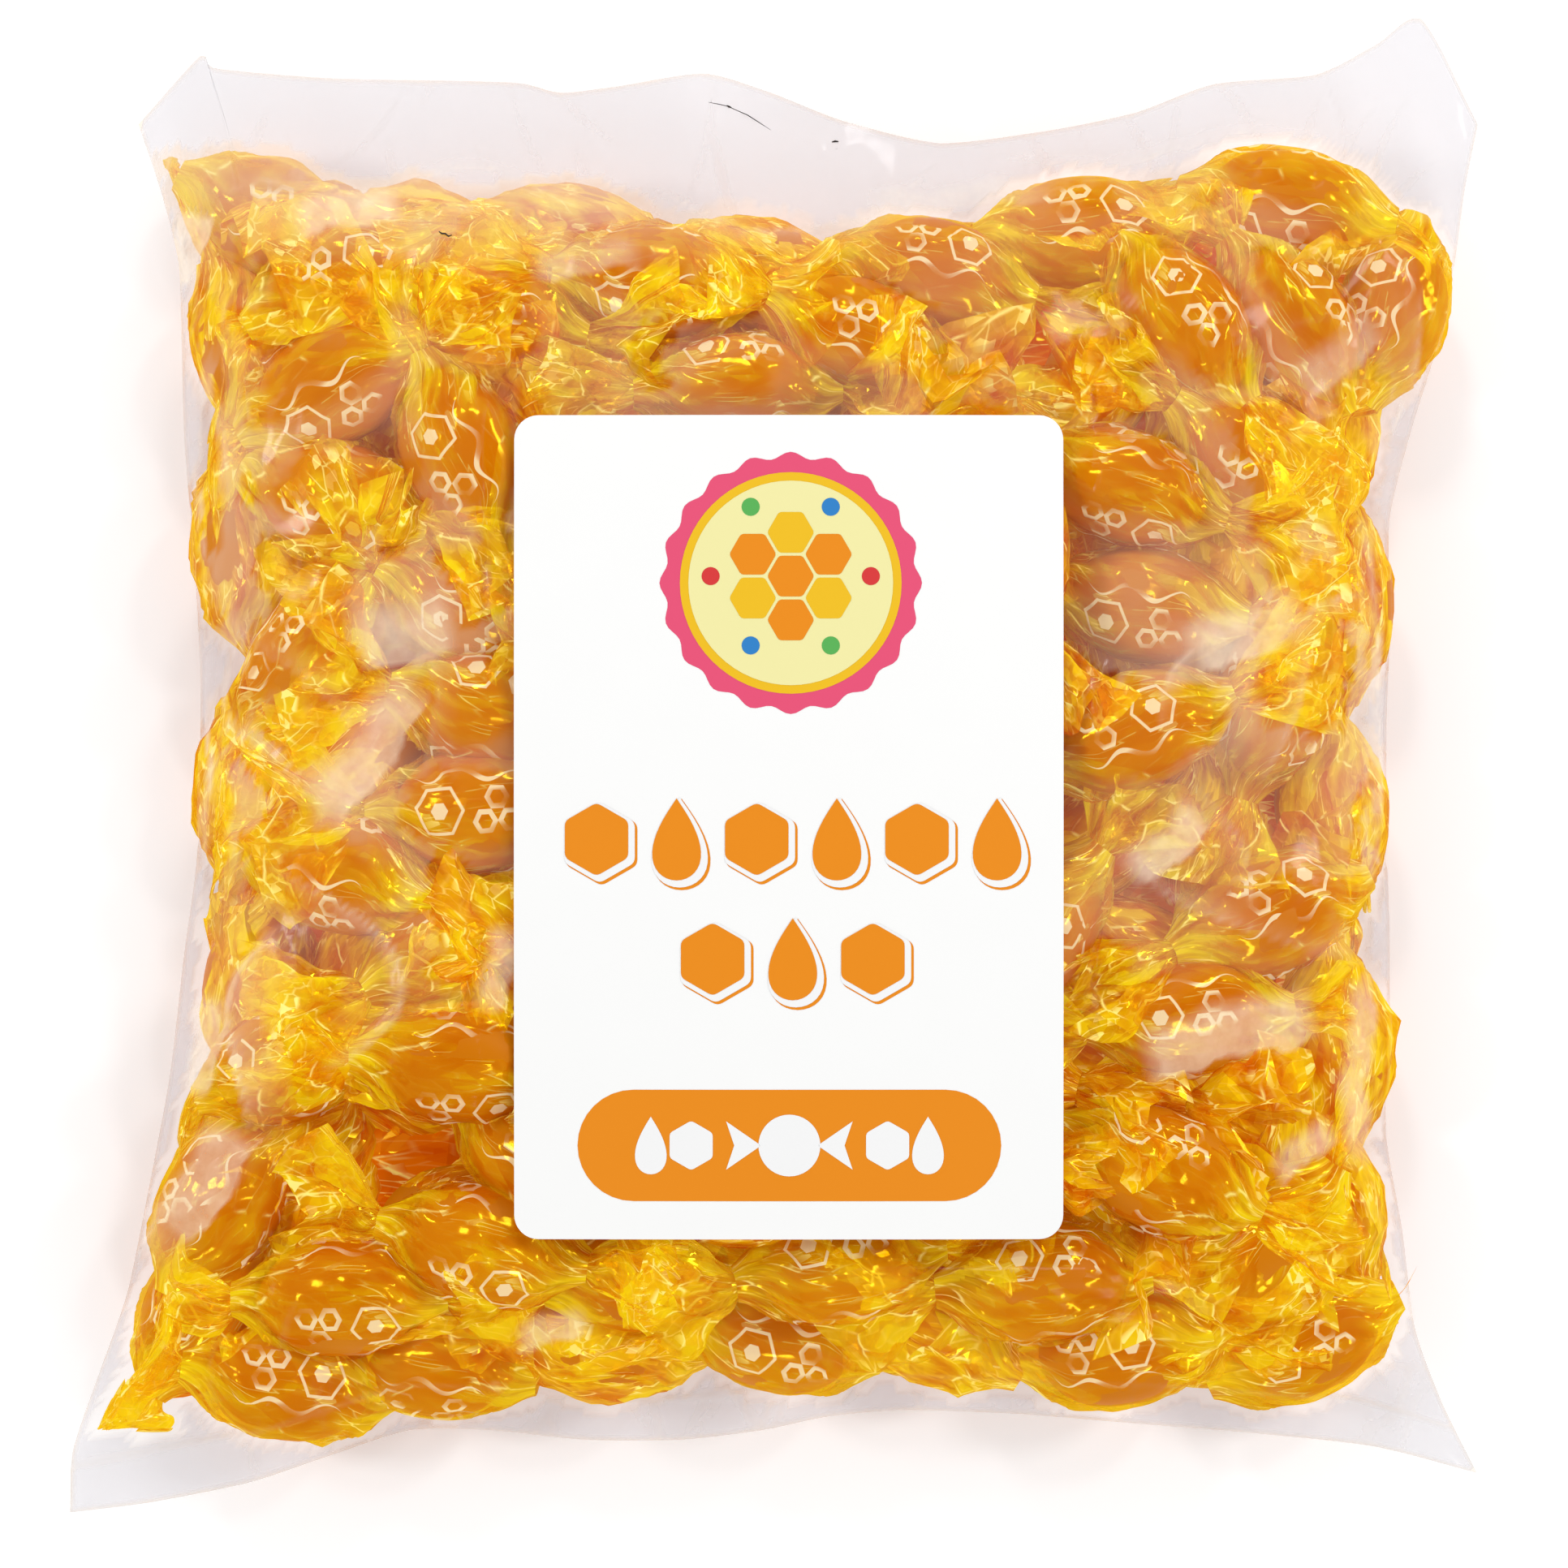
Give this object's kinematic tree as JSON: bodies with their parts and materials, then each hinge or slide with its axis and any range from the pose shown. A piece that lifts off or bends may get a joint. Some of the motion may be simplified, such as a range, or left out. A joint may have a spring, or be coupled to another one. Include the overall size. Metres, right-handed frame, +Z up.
{
  "type": "sealed clear bag of honey filled hard candies",
  "caption": "Clear pillow bag, sealed at both ends and filled with twist-wrapped honey sweets, lying on its back with a plain-shaped paper label on its front.",
  "frame": {"origin": "middle of the bag's outline, on the surface it lies on", "axes": "+X across the bag to the right, +Y towards the top seal, +Z up through the label"},
  "size_m": [0.213, 0.2258, 0.0356],
  "materials": {
    "bag": "clear film over golden wrapped sweets",
    "label": "semi-gloss white paper with printed shapes"
  },
  "bodies": {
    "root": {"bag": "bag", "label": "label"}
  },
  "joints": []
}
